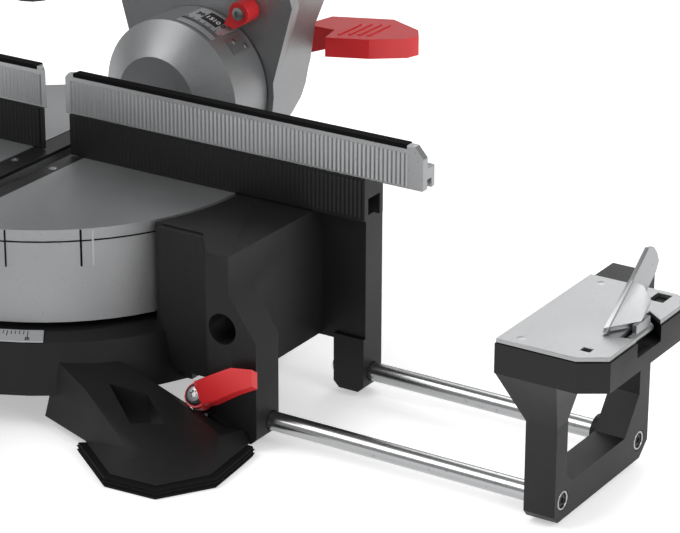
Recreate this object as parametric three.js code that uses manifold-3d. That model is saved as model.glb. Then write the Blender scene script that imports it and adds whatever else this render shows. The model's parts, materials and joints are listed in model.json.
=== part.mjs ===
// Sliding mitre saw on its own cast stand: base, turntable, sliding head and two pull-out supports.
// Millimetres, +Z up. X is measured from the turntable pivot, Y from the fence face, Z from the bench.
import * as THREE from 'three';
import Module from 'manifold-3d';
import { mergeVertices } from 'three/addons/utils/BufferGeometryUtils.js';

const wasm = await Module();
wasm.setup();

// driving sizes
const tableTop = 122;        // height of the table face
const tableRadius = 137.5;   // turntable
const tableGap = 3.5;        // between turntable and base
const deckHeight = 58;       // base ring under the turntable
const ringRadius = 157;
const ringBottom = 22;
const tubeRadius = 6;        // pull-out support tubes
const tubeHeight = 15.4;
const frontTubeY = -73.2;
const rearTubeY = 20.6;
const supportEnd = 411.4;    // outer face of the end bracket
const bracketWidth = 20;
const topReach = supportEnd + 38.6;   // end of the support's table bar
const fenceHeight = 55.6;
const fenceLow = 28;
const fenceDepth = 14;
const lipDepth = 6;          // the fence's thin upper edge
const lipRise = 42;
const fenceEnd = 272.7;
const fenceGap = 7.6;
const bladeRadius = 108;
const bladeThick = 2.4;
const arborRise = 103;       // arbor above the table with the head down
const pivotY = 150;
const pivotRise = 160;
const headLift = 42;         // degrees from down to rest
const bevelRise = 3;         // bevel axis above the table
const drumRadius = 53;
const drumFront = 108;
const flangeY = 162;         // joint between drum and tilting arm
const armRadius = 58;
const railRadius = 11;
const railSpread = 35;
const railRise = 196;
const railLength = 380;
const motorRadius = 42;
const fit = 0.3;             // clearance between neighbours

const top = tableTop;
const motorY = 20;
const motorZ = top + 131;
const arborZ = top + arborRise;
const bevelZ = top + bevelRise;
const railZ = top + railRise;

const look = (color, roughness, metalness) => new THREE.MeshStandardMaterial({ color, roughness, metalness });
const silver = look(0xb4b6b8, 0.45, 0.8);
const black = look(0x17181a, 0.6, 0.1);
const rubber = look(0x101011, 0.85, 0);
const red = look(0xd43232, 0.4, 0);
const chrome = look(0xc9cbcf, 0.15, 1);
const steel = look(0xa9acb0, 0.3, 0.9);
const aluminium = look(0xc4c6c8, 0.35, 0.85);

const model = new THREE.Group();

// ---- solids -------------------------------------------------------------
function solidOf(geometry) {
  const bare = geometry.clone();
  bare.deleteAttribute('normal');
  bare.deleteAttribute('uv');
  const joined = mergeVertices(bare, 1e-4);
  const vertProperties = new Float32Array(joined.attributes.position.array);
  const triVerts = new Uint32Array(joined.index.array);
  return new wasm.Manifold(new wasm.Mesh({ numProp: 3, vertProperties, triVerts }));
}

const frames = {
  x: [[0, 1, 0], [0, 0, 1], [1, 0, 0]],
  y: [[0, 0, 1], [1, 0, 0], [0, 1, 0]],
  z: [[1, 0, 0], [0, 1, 0], [0, 0, 1]],
};

function basis(axis, origin = [0, 0, 0]) {
  const [u, v, w] = frames[axis].map((d) => new THREE.Vector3(...d));
  return new THREE.Matrix4().makeBasis(u, v, w).setPosition(...origin);
}

// outline points: (y, z) for axis x, (x, z) for axis y, (x, y) for axis z
function prism(axis, outline, from, to, holes = []) {
  const turn = (points) => points.map(([a, b]) => (axis === 'y' ? new THREE.Vector2(b,
    a) : new THREE.Vector2(a, b)));
  const edge = turn(outline);
  if (THREE.ShapeUtils.isClockWise(edge)) edge.reverse();
  const shape = new THREE.Shape(edge);
  holes.forEach((hole) => shape.holes.push(new THREE.Path(turn(hole))));
  const geometry = new THREE.ExtrudeGeometry(shape, { depth: to - from, bevelEnabled: false });
  geometry.translate(0, 0, from);
  return solidOf(geometry.applyMatrix4(basis(axis)));
}

function box(x0, x1, y0, y1, z0, z1) {
  const geometry = new THREE.BoxGeometry(x1 - x0, y1 - y0, z1 - z0);
  return solidOf(geometry.translate((x0 + x1) / 2, (y0 + y1) / 2, (z0 + z1) / 2));
}

// turned solid: profile of (radius, place along axis), centre is any point on the axis
function turned(axis, centre, profile, sides = 32) {
  const points = profile.map(([r, a]) => new THREE.Vector2(r, a));
  if (profile[0][0] > 0) points.push(points[0].clone());
  const geometry = new THREE.LatheGeometry(points, sides);
  geometry.rotateX(Math.PI / 2);
  const solid = solidOf(geometry.applyMatrix4(basis(axis, centre)));
  return solid;
}

function rod(axis, centre, radius, from, to, sides = 24) {
  return turned(axis, centre, [[0, from], [radius, from], [radius, to], [0, to]], sides);
}

function ringOf(axis, centre, inner, outer, from, to, sides = 24) {
  return turned(axis, centre, [[inner, from], [outer, from], [outer, to], [inner, to]], sides);
}

// solid between two outlines of as many 3-D points; the first is the lower one
function loft(lower, upper) {
  const count = lower.length;
  const flat = lower.map(([x, y]) => new THREE.Vector2(x, y));
  const caps = THREE.ShapeUtils.triangulateShape(flat, []);
  const turnSign = THREE.ShapeUtils.area(flat) > 0 ? 1 : -1;
  const faces = [];
  const addFace = (a, b, c) => faces.push(...(turnSign > 0 ? [a, b, c] : [a, c, b]));
  for (let i = 0; i < count; i += 1) {
    const j = (i + 1) % count;
    addFace(i, j, count + j);
    addFace(i, count + j, count + i);
  }
  caps.forEach(([a, b, c]) => {
    const up = THREE.ShapeUtils.area([flat[a], flat[b], flat[c]]) > 0;
    const [p, q, r] = up ? [a, b, c] : [a, c, b];
    faces.push(p + count, q + count, r + count, p, r, q);
  });
  const geometry = new THREE.BufferGeometry();
  const values = [...lower, ...upper].flat();
  geometry.setAttribute('position', new THREE.Float32BufferAttribute(values, 3));
  geometry.setIndex(faces);
  return solidOf(geometry);
}

const join = (...solids) => solids.reduce((a, b) => a.add(b));
const cut = (solid, ...tools) => tools.reduce((a, b) => a.subtract(b), solid);
const both = (a, b) => a.intersect(b);

const arc = (radius, fromDeg, toDeg, steps, centre = [0, 0]) => Array.from({ length: steps + 1 }, (_, i) => {
  const turn = THREE.MathUtils.degToRad(fromDeg + (toDeg - fromDeg) * i / steps);
  return [centre[0] + radius * Math.cos(turn), centre[1] + radius * Math.sin(turn)];
});

function add(name, solid, material, { parent = model, flip = false } = {}) {
  const mesh = solid.getMesh();
  const values = Float32Array.from(mesh.vertProperties);
  const order = Uint32Array.from(mesh.triVerts);
  if (flip) {
    for (let i = 0; i < values.length; i += 3) values[i] *= -1;
    for (let i = 0; i < order.length; i += 3) [order[i], order[i + 1]] = [order[i + 1], order[i]];
  }
  const geometry = new THREE.BufferGeometry();
  geometry.setAttribute('position', new THREE.BufferAttribute(values, 3));
  geometry.setIndex(new THREE.BufferAttribute(order, 1));
  geometry.computeVertexNormals();
  const node = new THREE.Mesh(geometry, material);
  node.name = name;
  parent.add(node);
  return node;
}

const sides = [['right', false], ['left', true]];
const addPair = (name, solid, material) => sides.forEach(([side, flip]) => add(`${name}_${side}`, solid,
  material, { flip }));

// ---- base ---------------------------------------------------------------
const wingInner = tableRadius + tableGap;
const wingEnd = 194.5;
const blockEnd = 213.5;
const blockFront = -90;
const blockBack = -66;
const beamBack = 31;
const beamFront = 12;
const clampX = 173;
const clampTilt = THREE.MathUtils.degToRad(35);
const clampAxis = new THREE.Vector3(0, -Math.cos(clampTilt), Math.sin(clampTilt));
const clampFrame = new THREE.Matrix4().makeBasis(
  new THREE.Vector3(1, 0, 0),
  clampAxis.clone().cross(new THREE.Vector3(1, 0, 0)),
  clampAxis,
).setPosition(clampX, frontTubeY, tubeHeight);
const clampHub = 8;
const clampSeat = 16;

function onClamp(solid) {
  return solid.transform(clampFrame.elements);
}

// outrigger foot: lower edge standing on the rubber pad, upper edge rising to the base ring
function outrigger(padTop) {
  const lower = [
    [84, -128], [126, -143], [165, -171], [197, -169], [215, -140], [212, -112],
    [210, -91], [192, -91], [158, -91], [140, -97], [112, -97],
  ].map(([x, y]) => [x, y, padTop]);
  const upper = [
    [90, -122, 43], [118, -131, 34], [164, -153, 17], [177, -152, 17], [200, -131, 17], [203, -112, 18],
    [205, -91.5, 14], [192, -91.5, 12], [158, -91.5, 12], [140, -97.5, 34], [112, -97.5, 42],
  ];
  const window = prism('z', [[125, -117], [156, -138], [171, -125], [148, -110]], 0, 60);
  return cut(loft(lower, upper), window);
}

function rearLeg(padTop) {
  const lower = [[110, 130], [130, 130], [130, 165], [110, 165]].map(([x, y]) => [x, y, padTop]);
  const upper = [[84, 104], [116, 92], [128, 160], [112, 162]].map(([x, y], i) => [x, y, i < 2 ? 50 : 30]);
  return loft(lower, upper);
}

function wing() {
  const plan = [[122, -66], [160, -66], [178, blockFront], [wingEnd, blockFront], [wingEnd, beamBack],
    [100, beamBack]];
  const plate = prism('z', plan, top - 8, top);
  const block = prism('y', [
    [178, 5], [blockEnd - 4, 5], [blockEnd, 9], [blockEnd, 70.6], [wingEnd, 98.3], [wingEnd, top - 1],
      [178, top - 1],
  ], blockFront, blockBack);
  const recess = box(130, 179, -70, blockBack + 4, 30, top - 1);
  const wall = box(187, wingEnd, blockBack - 2, beamFront + 2, 38, top - 1);
  const beam = box(130, 226, beamFront, beamBack, 36, top - 0.5);
  const leg = prism('y', [[204, 8], [208, 4], [222, 4], [226, 8], [226, 40], [204, 40]], 10, beamBack);
  const inner = box(124, 150, -66, beamBack, 24, top - 4);
  const boss = onClamp(rod('z', [0, 0, 0], 9.5, 0, clampSeat - fit));
  const hole = rod('y', [189.6, 0, top - 46.7], 9.8, blockFront - 5, blockBack + 5);
  const deck = cut(rod('z', [0, 0, 0], wingInner, deckHeight - 30, top + 5, 64));
  return cut(join(plate, block, recess, wall, beam, leg, inner, boss), hole, deck);
}

function sideBase(padTop) {
  const tubes = [frontTubeY, rearTubeY].map((y) => rod('x', [0, y, tubeHeight], tubeRadius + fit, -5, 260));
  const turning = onClamp(rod('z', [0, 0, 0], clampHub + 1, clampSeat - fit, 60));
  const screw = onClamp(rod('z', [0, 0, 0], 4 + fit, 0, clampSeat));
  return cut(join(wing(), outrigger(padTop), rearLeg(padTop)), ...tubes, turning, screw);
}

function mirrored(solid) {
  const { vertProperties, triVerts } = solid.getMesh();
  const geometry = new THREE.BufferGeometry();
  const values = Float32Array.from(vertProperties, (v, i) => (i % 3 === 0 ? -v : v));
  const order = Uint32Array.from(triVerts);
  for (let i = 0; i < order.length; i += 3) [order[i], order[i + 1]] = [order[i + 1], order[i]];
  geometry.setAttribute('position', new THREE.BufferAttribute(values, 3));
  geometry.setIndex(new THREE.BufferAttribute(order, 1));
  return solidOf(geometry);
}

const padTop = 7;
const boltRadius = 8;
const boltHeadTop = 34;
const deck = turned('z', [0, 0, 0], [
  [boltRadius + fit, boltHeadTop + fit], [30, boltHeadTop + fit], [46, 48], [146, 48], [151, ringBottom],
  [ringRadius, ringBottom], [151, deckHeight - 4], [142, deckHeight], [boltRadius + fit, deckHeight],
], 48);
const rightBase = sideBase(padTop);
const slots = [45, 30, 15, 0, -15, -30, -45].map((deg) => {
  const turn = THREE.MathUtils.degToRad(deg - 90);
  return rod('z', [118 * Math.cos(turn), 118 * Math.sin(turn), 0], 3.5, 40, 70, 10);
});
const scaleRing = turned('z', [0, 0, 0], [
  [142.2, deckHeight + 0.3], [150.8, deckHeight - 3.5], [151.2, deckHeight - 2.6], [142.6, deckHeight + 1.2],
], 64);
const scaleRoom = turned('z', [0, 0, 0], [
  [140, deckHeight + 0.05], [142.1, deckHeight + 0.05], [151, deckHeight - 3.9], [153, deckHeight - 3.9],
  [153, deckHeight + 12], [140, deckHeight + 12],
], 64);
const scaleSector = (past) => prism('z', [[0, 0], ...arc(200, -90 - 74 - past, -90 + 33.4 + past, 12)],
  40, 80);
const room = both(scaleRoom, scaleSector(1));
add('base_casting', cut(join(deck, rightBase, mirrored(rightBase)), room, ...slots), black);
add('mitre_scale_plate', both(scaleRing, scaleSector(0)), silver);

const frontPad = prism('z', [
  [122.7, -146.1], [163.9, -175.4], [198.7, -172.9], [219.5, -141.1], [216.3, -111.6], [214, -94],
  [190, -94], [186, -116], [171, -128], [154, -141], [136, -137],
], 0, padTop - fit);
addPair('foot_pad_front', frontPad, rubber);
addPair('foot_pad_rear', box(111, 129, 131, 164, 0, padTop - fit), rubber);

const hubBore = 18;
add('pivot_bolt', join(
  rod('z', [0, 0, 0], 14, boltHeadTop - 9, boltHeadTop, 6),
  rod('z', [0, 0, 0], boltRadius, boltHeadTop, top - hubBore - 4, 20),
), steel);

// ---- fences -------------------------------------------------------------
const fenceSlope = Math.tan(THREE.MathUtils.degToRad(52));
const fenceInner = (y) => fenceGap + y * fenceSlope;
const lowDepth = 22;
const tongueTop = fenceLow + 6;
const lowFence = cut(
  prism('z', [
    [fenceInner(0) + 2, 0.4], [232, 0.4], [232, lowDepth], [fenceInner(lowDepth) + 2, lowDepth],
  ], top + fit, top + fenceLow),
  box(0, 240, 5, lowDepth - 4, top - 1, top + 14),
);
const tongue = box(fenceInner(10) + 6, 228, 6, 10, top + fenceLow - 2, top + tongueTop);
addPair('fence_casting', join(lowFence, tongue), black);
const upperPlan = prism('z', [
  [fenceInner(0), 0], [fenceEnd, 0], [fenceEnd, fenceDepth], [fenceInner(fenceDepth), fenceDepth],
], top + fenceLow + fit, top + fenceHeight);
const upperFace = prism('y', [
  [fenceGap, top + fenceLow], [fenceEnd, top + fenceLow], [fenceEnd, top + fenceHeight - 7],
  [fenceEnd - 7, top + fenceHeight + 1], [fenceGap + 4, top + fenceHeight + 1], [fenceGap,
    top + fenceHeight - 3],
], -1, fenceDepth + 1);
const groove = box(-10, fenceEnd + 10, 6 - fit, 10 + fit, top, top + tongueTop + fit);
const lipCut = box(-10, fenceEnd + 10, lipDepth, fenceDepth + 10, top + lipRise, top + fenceHeight + 5);
addPair('fence_slide', cut(both(upperPlan, upperFace), groove, lipCut), aluminium);
const fenceKnobX = 200;
const knobZ = top + fenceLow - 8;
addPair('fence_knob', turned('y', [fenceKnobX, 0, knobZ], [
  [0, lowDepth + fit], [4, lowDepth + fit], [4, lowDepth + 5], [9, lowDepth + 6], [9, lowDepth + 17], [0,
    lowDepth + 18],
], 10), black);

const holeIn = (x0, x1, y0, y1) => [[x0, y0], [x1, y0], [x1, y1], [x0, y1]];

// ---- pull-out supports --------------------------------------------------
const bracketInner = supportEnd - bracketWidth;
const barInner = supportEnd - 27.4;
const barFront = -108;
const legFront = -83;
const windowFront = -70;
const plateThick = 2.7;
const notch = [[29.6, -70], [49.6, -62], [49.6, -45.6], [26.6, -28]]
  .map(([x, y]) => [supportEnd + x, y]);
function bracket() {
  const side = prism('x', [
    [legFront + 4, 3.5], [legFront, 8], [legFront, top - plateThick - fit],
    [32, top - plateThick - fit], [32, 12], [22, 3.5],
  ], bracketInner, supportEnd, [[
    [windowFront, 30], [windowFront + 7, 24], [2, 24], [19, 46], [19, top - 21], [windowFront, top - 21],
  ]]);
  const bar = prism('z', [
    [barInner, barFront], [supportEnd + 23.6, barFront], [topReach + 0.5, -98], [topReach + 0.5, -4],
    [supportEnd + 29.6, 6],
    [supportEnd, 6], [supportEnd, 32], [barInner, 32],
  ], top - 21, top - plateThick - fit);
  const gusset = loft(
    holeIn(bracketInner, supportEnd, legFront, windowFront - 1).map(([x, y]) => [x, y, top - 58]),
    holeIn(barInner, supportEnd + 11.6, barFront, windowFront - 1).map(([x, y]) => [x, y, top - 20]),
  );
  const boss = rod('x', [0, rearTubeY, tubeHeight], 10, bracketInner - 8, bracketInner + 1);
  const bores = [frontTubeY, rearTubeY].map((y) => (
    rod('x', [0, y, tubeHeight], tubeRadius + fit, bracketInner - 80, supportEnd + 20)));
  return cut(join(side, bar, gusset, boss), ...bores, prism('z', notch, top - 12, top));
}
addPair('end_bracket', bracket(), black);
const plateHoles = [
  holeIn(supportEnd + 19.6, supportEnd + 25.6, -97, -92), holeIn(supportEnd + 18.6, supportEnd + 27.6, -13, -1),
];
const plate = prism('z', [
  [barInner + 0.5, barFront + 0.5], [supportEnd + 22.6, barFront + 0.5], [topReach - 0.5, -97.5],
  [topReach - 0.5, -4.5], [supportEnd + 29.1, 3], [barInner + 0.5, 3],
], top - plateThick, top, plateHoles);
addPair('top_plate', cut(plate, prism('z', notch, top - 5, top + 5)), aluminium);
const tube = (y, inner) => ringOf('x', [0, y, tubeHeight], tubeRadius - 1.5, tubeRadius, inner,
  supportEnd, 20);
addPair('tube_front', tube(frontTubeY, 158), chrome);
addPair('tube_rear', tube(rearTubeY, 200), chrome);

const stopX = supportEnd + 32.6;
const bladeAt = supportEnd + 19.9;   // standing blade of the stop
const barrelSpan = [-64, -39];
const stopZ = top - 4;
const stopRadius = 2.6;
function flipStop() {
  const blade = prism('x', [
    [-72, top + 1], [-36, top + 1], [-13, top + 18], [-10, top + 23.5], [-12.5, top + 29], [-17, top + 34],
    [-23.5, top + 35.5], [-43, top + 21],
  ], bladeAt, bladeAt + 2.6);
  const face = [[0.3, -71, 1], [13.3, -51, 1], [12.7, -39, 10], [7.2, -38, 16.5], [0.5, -42.5, 20.5]];
  const tabAt = (lift) => face.map(([x, y, z]) => [bladeAt + x, y, top + z + lift]);
  const tab = loft(tabAt(0), tabAt(2.6));
  const barrel = rod('y', [stopX, 0, stopZ], stopRadius, ...barrelSpan, 14);
  const web = box(stopX - 1.3, stopX + 1.3, barrelSpan[0] + 6, barrelSpan[1] - 2, stopZ, top + 3.5);
  return join(blade, tab, barrel, web);
}
addPair('flip_stop', flipStop(), steel);

// hub on the tilted clamp screw, blade rising clear of the casting
function clampLever() {
  const hub = rod('z', [0, 0, 0], clampHub, clampSeat + 1, clampSeat + 10, 20);
  const shank = rod('z', [0, 0, 0], 4, 8, clampSeat + 2, 12);
  const lower = [
    [2, -6, 18], [14, -2, 21], [30, 6, 28.5], [44, 12, 33.5], [43, 21, 38], [28, 19, 37], [12, 11, 33],
      [-2, 7, 23],
  ];
  const blade = loft(lower, lower.map(([x, y, z]) => [x, y, z + 7]));
  return onClamp(join(hub, shank, blade));
}
addPair('clamp_lever', clampLever(), red);

// ---- turntable ----------------------------------------------------------
const armHalf = 26;
const armEnd = 262;
const slotLeft = -3.5;
const slotRight = 8.5;
const slotEnd = 240;
const tableUnder = deckHeight + 4;
const rodZ = top - 40;
const rodRadius = 4;
function turntableCasting() {
  const disc = turned('z', [0, 0, 0], [
    [0, tableUnder], [30, tableUnder], [30, top - 9], [132, top - 9], [132, tableUnder], [tableRadius,
      tableUnder],
    [tableRadius, top], [0, top],
  ], 64);
  const arm = cut(
    box(-armHalf, armHalf, -armEnd, -110, tableUnder + 2, top),
    box(5 - armHalf, armHalf - 5, 5 - armEnd, -100, tableUnder, top - 16),
    turned('z', [0, 0, 0], [[0, 0], [131.9, 0], [131.9, top - 8], [0, top - 8]], 64),
  );
  const drum = turned('y', [0, 0, bevelZ], [
    [0, drumFront], [31.5, drumFront], [drumRadius, 125], [drumRadius, flangeY], [0, flangeY],
  ], 64);
  const neck = box(-40, 40, 100, 158, tableUnder + 6, top - 4);
  const pocket = ringOf('y', [0, 0, bevelZ], 22, 45, 134, flangeY + 1, 40);
  const bevelBore = rod('y', [0, 0, bevelZ], boltRadius + fit, 116 - fit, flangeY + 2);
  const channel = box(slotLeft - 3, slotRight + 3, -slotEnd - 2, 92, top - 14, top + 1);
  const seat = box(-20.3, 20.3, -slotEnd - 6.3, 94.3, top - 3, top + 1);
  const pivotBore = rod('z', [0, 0, 0], boltRadius + fit, 40, top - hubBore);
  const rodBore = rod('y', [0, 0, rodZ], rodRadius + fit, -armEnd - 10, -120);
  return cut(join(disc, arm, drum, neck), pocket, bevelBore, channel, seat, pivotBore, rodBore);
}
add('turntable_casting', turntableCasting(), silver);
add('kerf_insert', prism('z', [[-20, -slotEnd - 6], [20, -slotEnd - 6], [20, 94], [-20, 94]], top - 2.7,
  top - fit, [
  holeIn(slotLeft, slotRight, -slotEnd, 90),
]), black);
const pointerTurn = THREE.MathUtils.degToRad(-90 - 20.4);
const pointerAt = (r, side) => [
  r * Math.cos(pointerTurn) - side * Math.sin(pointerTurn),
  r * Math.sin(pointerTurn) + side * Math.cos(pointerTurn),
];
add('mitre_pointer', prism('z', [
  pointerAt(tableRadius + fit, -5), pointerAt(148, -1), pointerAt(148, 1), pointerAt(tableRadius + fit, 5),
], deckHeight + 5, deckHeight + 9), red);
const knobStart = armEnd + 1;
add('mitre_lock_knob', turned('y', [0, 0, rodZ], [
  [0, -knobStart - 50], [14, -knobStart - 50], [22, -knobStart - 40], [22, -knobStart - 22], [13,
    -knobStart - 12],
  [9, -knobStart], [rodRadius + fit, -knobStart], [rodRadius + fit, -knobStart - 30], [0, -knobStart - 30],
], 12), black);
add('mitre_lock_rod', rod('y', [0, 0, rodZ], rodRadius, -knobStart - 29.7, -126, 16), steel);
const detentZ = tableUnder - 5;
add('detent_lever', join(
  rod('x', [0, -armEnd + 22, detentZ], 4, -16, 16, 16),
  box(-12, 12, -armEnd - 14, -armEnd + 22, detentZ - 3, detentZ + 1),
  box(-3, 3, -armEnd + 20, -164, detentZ - 1.5, detentZ + 1.5),
), red);
const scaleDrum = ringOf('y', [0, 0, bevelZ], drumRadius + fit, drumRadius + 1, 128, 158, 96);
const bevelSector = prism('y', [[0, bevelZ], ...arc(90, 54, 86, 6, [0, bevelZ])], 120, 170);
add('bevel_scale_plate', both(scaleDrum, bevelSector), black);

// ---- tilting arm --------------------------------------------------------
const armFront = flangeY + 1;
const armBack = 262;
const railSleeve = railRadius + 2;
const armSide = 60;
const lockY = 232;
function bevelArm() {
  const face = (flare) => [
    ...arc(armRadius, 172, 368, 20, [0, bevelZ]), [flare, top + 66], [armSide, top + 112],
    [armSide, top + 226], [-armSide, top + 226], [-armSide, top + 112], [-flare, top + 66],
  ];
  const profile = [
    [armFront, top - 60], [armFront, top + 84], [200, top + 140], [203, top + 226], [armBack, top + 226],
    [armBack, top + 172], [236, top + 92], [224, top + 55], [213, top + 40], [209, top + 16], [199, top - 7],
    [184, top - 30], [184, top - 60],
  ];
  const outline = join(prism('y', face(armSide), armFront, armBack), prism('y', face(73), armFront,
    armFront + 9));
  const body = both(outline, prism('x', profile, -80, 80));
  const bores = [-railSpread, railSpread].map((x) => rod('y', [x, 0, railZ], railSleeve + fit, 180,
    armBack + 2));
  const bolt = rod('y', [0, 0, bevelZ], boltRadius + fit, 150, 230);
  const window = box(-22, 22, 150, 280, top + 112, top + 168);
  const screw = rod('x', [0, lockY, railZ], 4 + fit, railSpread, armSide + 5);
  return cut(body, ...bores, bolt, window, screw);
}
add('bevel_arm', bevelArm(), silver);
const pointerTip = THREE.MathUtils.degToRad(60.9);
add('bevel_pointer', prism('y', [
  [1.22, 2], [9.5, -0.2], ...arc(8, -40, 190, 10, [13.5, 11.5]),
]
  .map(([x, z]) => [drumRadius * Math.cos(pointerTip) + x, bevelZ + drumRadius * Math.sin(pointerTip) + z]),
149, armFront - fit), red);
const boltStart = 116;
const boltEnd = 220;
add('bevel_pivot_bolt', rod('y', [0, 0, bevelZ], boltRadius, boltStart, boltEnd, 20), steel);
function bevelLever() {
  const hub = turned('y', [0, 0, bevelZ], [
    [boltRadius + fit, 211], [14, 211], [14, 242], [0, 242], [0, boltEnd + fit], [boltRadius + fit,
      boltEnd + fit],
  ], 20);
  const neck = prism('y', [
    [0, top + 14], [13, top + 2], [60, top + 19], [66, top + 32], [44, top + 33],
  ], 226, 240);
  const paddle = prism('z', [
    [42, 226], [66, 226], [70, 208], [98, 220], [119, 236], [122, 246], [115, 257], [88, 269], [48, 252],
  ], top + 20, top + 34);
  return join(hub, neck, paddle);
}
add('bevel_lock_lever', bevelLever(), red);
[['right', 1], ['left', -1]].forEach(([side, sign]) => {
  const centre = [sign * railSpread, 0, railZ];
  add(`rail_bush_${side}`, ringOf('y', centre, railRadius + fit, railSleeve, 208, armBack - 4), black);
});
add('slide_lock_knob', join(
  rod('x', [0, lockY, railZ], 4, railSpread + railSleeve + 1, armSide + 2, 14),
  rod('x', [0, lockY, railZ], 13, armSide + 1, armSide + 18, 10),
), black);

// ---- sliding carriage ---------------------------------------------------
const crossFront = 172;
const crossBack = 196;
const earInner = 20.5;
const earOuter = 32;
const pinRadius = 6;
const railEnd = crossFront + 2 + railLength;
const pivotZ = top + pivotRise;
function yoke() {
  const ear = (x0, x1) => prism('x', [
    ...arc(16, 130, 290, 8, [pivotY, pivotZ]), [crossBack, railZ - 14], [crossBack, railZ + 16],
    [crossFront, railZ + 16],
  ], x0, x1);
  const cross = box(-50, 50, crossFront, crossBack, railZ - 16, railZ + 16);
  const bores = [-railSpread, railSpread].map((x) => rod('y', [x, 0, railZ], railRadius + fit,
    crossFront + 2 - fit, 220));
  const pin = rod('x', [0, pivotY, pivotZ], pinRadius + fit, -60, 60);
  return cut(join(ear(earInner, earOuter), ear(-earOuter, -earInner), cross), ...bores, pin);
}
add('head_yoke', yoke(), silver);
[['right', 1], ['left', -1]].forEach(([side, sign]) => {
  const centre = [sign * railSpread, 0, railZ];
  add(`rail_${side}`, ringOf('y', centre, railRadius - 2.5, railRadius, crossFront + 2, railEnd), chrome);
});
const endCap = cut(
  box(-52, 52, railEnd - 14, railEnd + 8, railZ - 16, railZ + 16),
  ...[-railSpread, railSpread].map((x) => rod('y', [x, 0, railZ], railRadius + fit, railEnd - 20,
    railEnd + fit)),
);
add('rail_end_cap', endCap, black);
add('hinge_pin', join(
  rod('x', [0, pivotY, pivotZ], pinRadius, -earOuter - 6, earOuter + 1, 20),
  rod('x', [0, pivotY, pivotZ], 10, -earOuter - 6, -earOuter - fit, 20),
), steel);

// ---- saw head, drawn in its lowest place and lifted to rest -------------
const head = new THREE.Group();
head.position.set(0, pivotY, pivotZ);
head.rotation.x = -THREE.MathUtils.degToRad(headLift);
const headParts = new THREE.Group();
headParts.position.set(0, -pivotY, -pivotZ);
head.add(headParts);
model.add(head);
const onHead = { parent: headParts };
const arborLine = [0, 0, arborZ];
const motorLine = [0, motorY, motorZ];
const guardOuter = bladeRadius + 10;
const guardInner = guardOuter - 3;
const guardHalf = 12;
const lowerOuter = guardInner - 2;
const lowerHalf = 6;
const caseBack = 44;
const gearSpan = Math.hypot(motorY, motorZ - arborZ);
const gearTurns = 3;
const pinionRadius = (gearSpan - fit) / (gearTurns + 1);
const gearRadius = gearSpan - fit - pinionRadius;

function headCasting() {
  const round = both(
    rod('x', arborLine, guardOuter, -guardHalf, guardHalf, 48),
    box(-50, 50, -200, 200, top + 64, top + 400),
  );
  const arm = prism('x', [
    [0, top + 190], [70, top + 200], [pivotY, pivotZ + 16], [pivotY, pivotZ - 16], [112, top + 122], [0,
      top + 122],
  ], -guardHalf, guardHalf);
  const boss = rod('x', [0, pivotY, pivotZ], 16, -earInner + 0.5, earInner - 0.5, 32);
  const cavity = rod('x', arborLine, guardInner, 3 - guardHalf, guardHalf - 3, 48);
  const hub = rod('x', arborLine, 34, -30, 30, 32);
  const pin = rod('x', [0, pivotY, pivotZ], pinRadius + fit, -60, 60);
  return cut(join(round, arm, boss), cavity, hub, pin);
}
add('head_casting', headCasting(), silver, onHead);

const caseFront = guardHalf + fit;
function gearCase() {
  const shell = (inset, x0, x1) => {
    const links = prism('x', [
      [inset - 36, arborZ], [inset + motorY - 32, motorZ], [motorY + 32 - inset, motorZ], [36 - inset,
        arborZ],
    ], x0, x1);
    return join(
      rod('x', arborLine, 38 - inset, x0, x1, 40), rod('x', motorLine, 34 - inset, x0, x1, 40), links,
    );
  };
  const shaftHole = rod('x', arborLine, 8 + fit, 0, caseBack - 3);
  const motorHole = rod('x', motorLine, 14, 20, caseBack + 1);
  return cut(shell(0, caseFront, caseBack), shell(4, caseFront + 4, caseBack - 4), shaftHole, motorHole);
}
add('gear_housing', gearCase(), silver, onHead);
const motorStart = caseBack + fit;
const motorEnd = 150;
add('motor_housing', turned('x', motorLine, [
  [16, motorStart], [motorRadius, motorStart], [motorRadius, motorEnd], [motorRadius - 3.5, motorEnd],
  [motorRadius - 3.5, motorStart + 4], [16, motorStart + 4],
], 40), black, onHead);
add('motor_end_cap', turned('x', motorLine, [
  [0, motorEnd + 17], [30, motorEnd + 17], [motorRadius, motorEnd + 6], [motorRadius, motorEnd + fit],
  [motorRadius - 4, motorEnd + fit], [motorRadius - 5, motorEnd + 4], [0, motorEnd + 4],
].reverse(), 40), black, onHead);
add('motor_armature', turned('x', motorLine, [
  [0, 20], [pinionRadius, 20], [pinionRadius, 36], [5, 36], [5, 56], [27, 56], [27, 118], [14, 120], [14,
    138],
  [5, 138], [5, motorEnd], [0, motorEnd],
], 24), steel, onHead);
add('drive_gear', ringOf('x', arborLine, 8 + fit, gearRadius, 22, 34, 32), steel, onHead);
add('arbor', turned('x', arborLine, [
  [0, -12], [5, -12], [5, -1.3], [15 - fit, -1.2], [15 - fit, 1.2], [22, 1.5], [22, 6], [8, 6], [8, 38],
    [0, 38],
], 28), steel, onHead);
function blade() {
  const teeth = 24;
  const outline = [];
  for (let i = 0; i < teeth; i += 1) {
    const at = (r, share) => {
      const turn = 2 * Math.PI * (i + share) / teeth;
      return [r * Math.cos(turn), arborZ + r * Math.sin(turn)];
    };
    outline.push(at(bladeRadius - 12, 0), at(bladeRadius, 0.1), at(bladeRadius - 2, 0.35),
      at(bladeRadius - 12, 0.8));
  }
  const bore = arc(15, 0, 348.75, 31, [0, arborZ]);
  return prism('x', outline, -bladeThick / 2, bladeThick / 2, [bore]);
}
add('saw_blade', blade(), steel, onHead);
add('outer_flange', ringOf('x', arborLine, 5 + fit, 22, -6, -1.6, 28), steel, onHead);
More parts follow.
